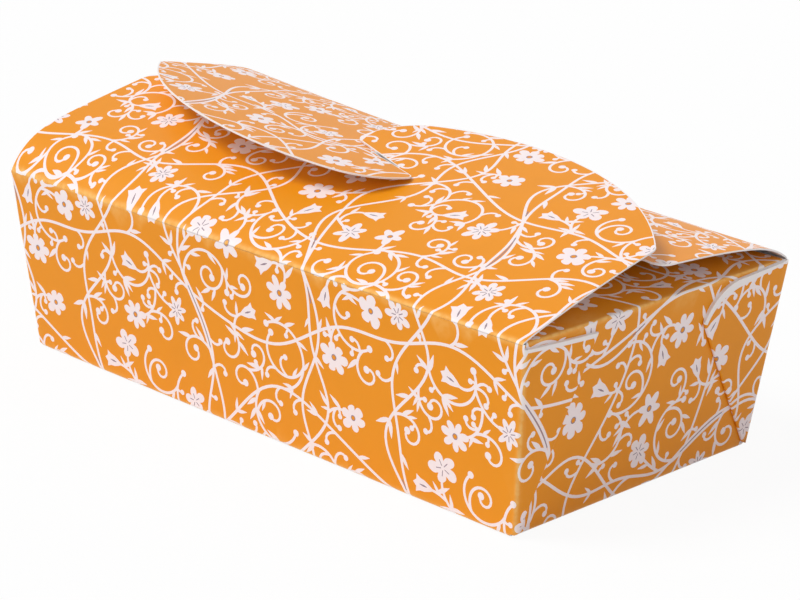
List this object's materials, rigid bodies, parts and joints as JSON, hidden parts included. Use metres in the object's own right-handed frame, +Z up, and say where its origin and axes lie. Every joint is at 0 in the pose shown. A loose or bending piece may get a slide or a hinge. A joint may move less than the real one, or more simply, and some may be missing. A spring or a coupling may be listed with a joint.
{
  "type": "bakery box",
  "caption": "Folding bakery box with flared walls, glued corner webs, tucked end flaps and two bowed long flaps whose S-shaped edges interleave on top.",
  "frame": {"origin": "middle of the base, on the face that the box stands on", "axes": "+X along the length towards the right end, +Y across the depth towards the back, +Z up"},
  "size_m": [0.217, 0.114, 0.0849],
  "materials": {
    "printed_board": "coated board, orange with a white vine print outside, plain white inside"
  },
  "bodies": {
    "carton_body": {"carton_body": "printed_board"},
    "front_flap": {"front_flap": "printed_board"},
    "back_flap": {"back_flap": "printed_board"}
  },
  "joints": [
    {"name": "back_flap_hinge", "type": "hinge", "parent": "carton_body", "child": "back_flap", "pos_m": [0, 0.0571, 0.058], "axis": [-1, 0, 0], "range_deg": [0, 180]},
    {"name": "front_flap_hinge", "type": "hinge", "parent": "carton_body", "child": "front_flap", "pos_m": [0, -0.0571, 0.058], "axis": [1, 0, 0], "range_deg": [0, 180]}
  ],
  "couplings": [
    {"joint": "front_flap_hinge", "follows": "back_flap_hinge", "ratio": 1}
  ]
}
